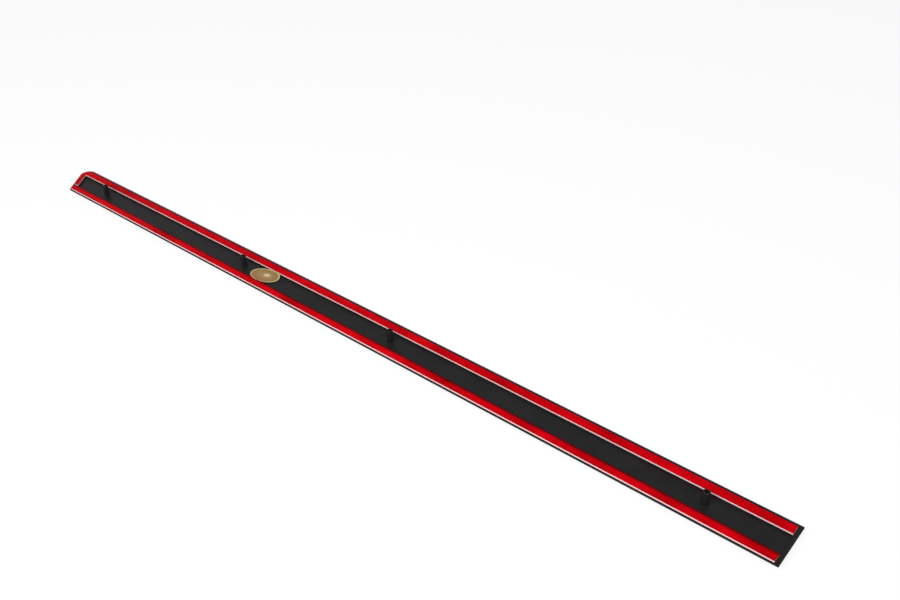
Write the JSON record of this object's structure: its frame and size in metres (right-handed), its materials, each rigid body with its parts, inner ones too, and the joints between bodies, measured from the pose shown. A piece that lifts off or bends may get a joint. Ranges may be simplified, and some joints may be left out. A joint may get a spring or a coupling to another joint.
{
  "type": "car body side moulding",
  "caption": "Long crowned plastic strip for a car door: one slanted rounded end, one square bevelled end, foam mounting tape with red release film and locating pegs on its back.",
  "frame": {"origin": "middle of the strip's outline, on the surface that the crowned face lies on", "axes": "+X along the strip to its square bevelled end, +Y to the edge with the rounded corner, +Z out of the taped back along the pegs"},
  "size_m": [1.037, 0.051, 0.0217],
  "materials": {
    "moulded_plastic": "fine-grained matt black thermoplastic",
    "white_foam": "white acrylic foam with a dull skin",
    "red_film": "glossy red polythene release film",
    "gold_foil": "brushed gold foil on paper"
  },
  "bodies": {
    "root": {"moulding_strip": "moulded_plastic", "far_tape_foam": "white_foam", "near_tape_foam": "white_foam", "far_tape_liner": "red_film", "near_tape_liner": "red_film", "round_sticker": "gold_foil"}
  },
  "joints": []
}
